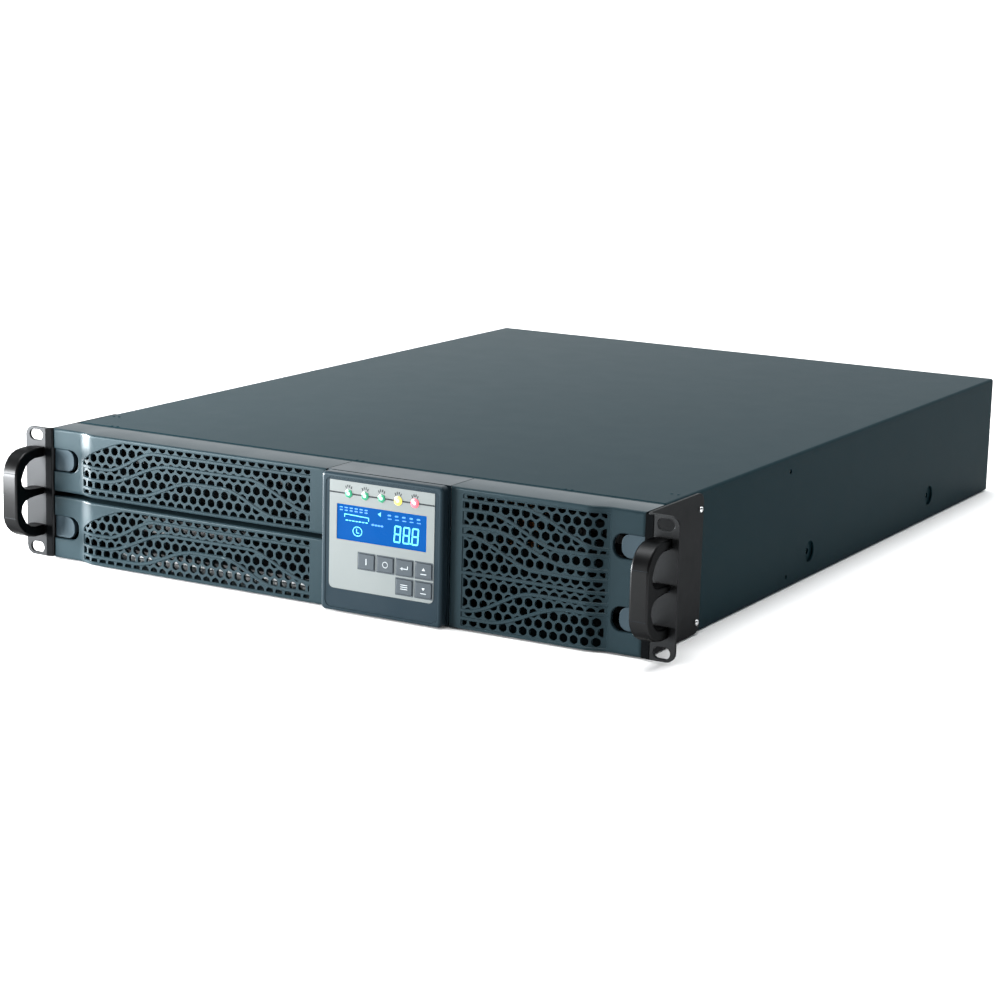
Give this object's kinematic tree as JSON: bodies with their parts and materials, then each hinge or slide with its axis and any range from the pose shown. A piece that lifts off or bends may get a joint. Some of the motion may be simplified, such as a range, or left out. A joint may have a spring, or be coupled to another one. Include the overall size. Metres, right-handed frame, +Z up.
{
  "type": "uninterruptible power supply",
  "caption": "Flat rack-mount uninterruptible power supply with perforated clip-off front bezels, turnable LCD display head, pull handles on rack ears, slide-out battery drawer and rear sockets.",
  "frame": {"origin": "centre of the chassis underside, midway between the ear fronts and the rear edge of the cover", "axes": "+X to the right seen from the front, +Y towards the rear, +Z up; the front faces -Y"},
  "size_m": [0.4826, 0.6346, 0.088],
  "materials": {
    "case_steel": "satin powder coat",
    "zinc_steel": "zinc plated",
    "ear_steel": "satin powder coat",
    "black_plastic": "fine texture",
    "bezel_plastic": "fine texture",
    "latch_plastic": "fine texture",
    "label_film": "satin film",
    "lcd_panel": "backlit",
    "key_plastic": "satin",
    "clear_plastic": "clear",
    "circuit_board": "solder mask",
    "heatsink_aluminium": "extruded",
    "copper_winding": "varnished",
    "battery_case": "moulded"
  },
  "bodies": {
    "chassis": {"base_pan": "case_steel", "top_cover": "case_steel", "front_frame": "case_steel", "rear_panel": "case_steel", "bay_divider": "zinc_steel", "ear_left": "ear_steel", "ear_right": "ear_steel", "handle_left": "black_plastic", "handle_right": "black_plastic", "display_bay": "bezel_plastic", "main_board": "circuit_board", "heatsink_a": "heatsink_aluminium", "heatsink_b": "heatsink_aluminium", "transformer": "copper_winding", "capacitor_bank": "black_plastic", "fan_frame_left": "black_plastic", "fan_frame_right": "black_plastic", "ac_inlet": "black_plastic", "outlet_block_lower": "black_plastic", "outlet_block_upper": "black_plastic", "breaker_body": "black_plastic", "expansion_slot_cover": "zinc_steel", "serial_port": "zinc_steel", "usb_port": "zinc_steel", "battery_connector": "black_plastic"},
    "battery_drawer": {"battery_tray": "zinc_steel", "battery_1": "battery_case", "battery_2": "battery_case", "battery_3": "battery_case", "battery_4": "battery_case", "battery_5": "battery_case", "battery_6": "battery_case", "drawer_front": "case_steel", "drawer_handle": "black_plastic"},
    "upper_left_bezel": {"bezel_upper_left": "bezel_plastic"},
    "lower_left_bezel": {"bezel_lower_left": "bezel_plastic"},
    "right_bezel": {"bezel_right": "bezel_plastic"},
    "latch_upper_left": {"latch_upper_left": "latch_plastic"},
    "latch_lower_left": {"latch_lower_left": "latch_plastic"},
    "latch_upper_right": {"latch_upper_right": "latch_plastic"},
    "latch_lower_right": {"latch_lower_right": "latch_plastic"},
    "display_slider": {"display_stem": "black_plastic"},
    "display_head": {"display_housing": "bezel_plastic", "display_overlay": "label_film", "display_back_plate": "bezel_plastic", "display_board": "circuit_board", "lcd_window": "lcd_panel", "led_light_pipe": "clear_plastic"},
    "key_on": {"key_on": "key_plastic"},
    "key_off": {"key_off": "key_plastic"},
    "key_enter": {"key_enter": "key_plastic"},
    "key_up": {"key_up": "key_plastic"},
    "key_menu": {"key_menu": "key_plastic"},
    "key_down": {"key_down": "key_plastic"},
    "fan_left": {"fan_rotor_left": "black_plastic"},
    "fan_right": {"fan_rotor_right": "black_plastic"},
    "breaker_reset": {"breaker_button": "key_plastic"}
  },
  "joints": [
    {"name": "battery_drawer_slide", "type": "slide", "parent": "chassis", "child": "battery_drawer", "axis": [0, -1, 0], "range_m": [0, 0.44]},
    {"name": "upper_left_bezel_pull", "type": "slide", "parent": "battery_drawer", "child": "upper_left_bezel", "axis": [0, -1, 0], "range_m": [0, 0.06]},
    {"name": "lower_left_bezel_pull", "type": "slide", "parent": "battery_drawer", "child": "lower_left_bezel", "axis": [0, -1, 0], "range_m": [0, 0.06]},
    {"name": "right_bezel_pull", "type": "slide", "parent": "chassis", "child": "right_bezel", "axis": [0, -1, 0], "range_m": [0, 0.06]},
    {"name": "latch_upper_left_slide", "type": "slide", "parent": "upper_left_bezel", "child": "latch_upper_left", "axis": [1, 0, 0], "range_m": [0, 0.003], "stiffness_N_per_m": 150},
    {"name": "latch_lower_left_slide", "type": "slide", "parent": "lower_left_bezel", "child": "latch_lower_left", "axis": [1, 0, 0], "range_m": [0, 0.003], "stiffness_N_per_m": 150},
    {"name": "latch_upper_right_slide", "type": "slide", "parent": "right_bezel", "child": "latch_upper_right", "axis": [-1, 0, 0], "range_m": [0, 0.003], "stiffness_N_per_m": 150},
    {"name": "latch_lower_right_slide", "type": "slide", "parent": "right_bezel", "child": "latch_lower_right", "axis": [-1, 0, 0], "range_m": [0, 0.003], "stiffness_N_per_m": 150},
    {"name": "display_pull", "type": "slide", "parent": "chassis", "child": "display_slider", "axis": [0, -1, 0], "range_m": [0, 0.025]},
    {"name": "display_turn", "type": "hinge", "parent": "display_slider", "child": "display_head", "pos_m": [0.0453, -0.3, 0.044], "axis": [0, -1, 0], "range_deg": [0, 90]},
    {"name": "key_on_press", "type": "slide", "parent": "display_head", "child": "key_on", "axis": [0, 1, 0], "range_m": [0, 0.0005], "stiffness_N_per_m": 400},
    {"name": "key_off_press", "type": "slide", "parent": "display_head", "child": "key_off", "axis": [0, 1, 0], "range_m": [0, 0.0005], "stiffness_N_per_m": 400},
    {"name": "key_enter_press", "type": "slide", "parent": "display_head", "child": "key_enter", "axis": [0, 1, 0], "range_m": [0, 0.0005], "stiffness_N_per_m": 400},
    {"name": "key_up_press", "type": "slide", "parent": "display_head", "child": "key_up", "axis": [0, 1, 0], "range_m": [0, 0.0005], "stiffness_N_per_m": 400},
    {"name": "key_menu_press", "type": "slide", "parent": "display_head", "child": "key_menu", "axis": [0, 1, 0], "range_m": [0, 0.0005], "stiffness_N_per_m": 400},
    {"name": "key_down_press", "type": "slide", "parent": "display_head", "child": "key_down", "axis": [0, 1, 0], "range_m": [0, 0.0005], "stiffness_N_per_m": 400},
    {"name": "fan_left_spin", "type": "hinge", "parent": "chassis", "child": "fan_left", "pos_m": [0.084, 0.285, 0.044], "axis": [0, 1, 0], "continuous": true},
    {"name": "fan_right_spin", "type": "hinge", "parent": "chassis", "child": "fan_right", "pos_m": [0.168, 0.285, 0.044], "axis": [0, 1, 0], "continuous": true},
    {"name": "breaker_reset_slide", "type": "slide", "parent": "chassis", "child": "breaker_reset", "axis": [0, 1, 0], "range_m": [0, 0.004]}
  ]
}
